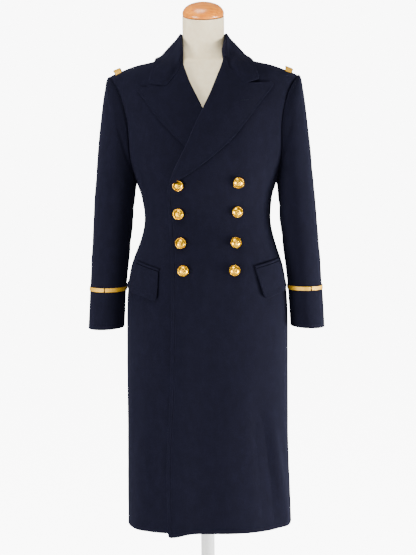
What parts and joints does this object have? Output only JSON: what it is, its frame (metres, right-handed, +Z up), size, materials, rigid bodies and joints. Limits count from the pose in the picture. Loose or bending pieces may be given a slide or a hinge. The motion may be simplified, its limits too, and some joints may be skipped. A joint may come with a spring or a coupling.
{
  "type": "double-breasted greatcoat on a dress form",
  "caption": "Long double-breasted sailor greatcoat with peak lapels, gilt buttons, cuff lace and pocket flaps, worn by a limbless dress form on a pole and round base.",
  "frame": {"origin": "on the floor, at the middle of the stand's round base, under the pole", "axes": "+Z up, the coat's front faces -Y, +X is to the right of a viewer who faces the front, which is the wearer's left"},
  "size_m": [0.5518, 0.35, 1.4756],
  "materials": {
    "navy_melton": "navy wool melton, short felted nap, matt",
    "gold_lace": "gold metal-thread lace, ribbed along its length",
    "gilt_metal": "gilt brass, polished dome",
    "form_linen": "natural linen stretched over the form",
    "cap_wood": "turned beech, warm varnish",
    "white_steel": "white enamel, satin"
  },
  "bodies": {
    "root": {"front_over": "navy_melton", "front_under": "navy_melton", "back_left": "navy_melton", "back_right": "navy_melton", "lapel_over": "navy_melton", "lapel_under": "navy_melton", "collar": "navy_melton", "collar_stand": "navy_melton", "sleeve_left": "navy_melton", "sleeve_right": "navy_melton", "flap_left": "navy_melton", "flap_right": "navy_melton", "welt_left": "navy_melton", "welt_right": "navy_melton", "braid_left": "gold_lace", "braid_right": "gold_lace", "shoulder_loop_left": "gold_lace", "shoulder_loop_right": "gold_lace", "button_1": "gilt_metal", "button_2": "gilt_metal", "button_3": "gilt_metal", "button_4": "gilt_metal", "button_5": "gilt_metal", "button_6": "gilt_metal", "button_7": "gilt_metal", "button_8": "gilt_metal", "form": "form_linen", "neck_cap": "cap_wood", "pole": "white_steel", "base": "white_steel"}
  },
  "joints": []
}
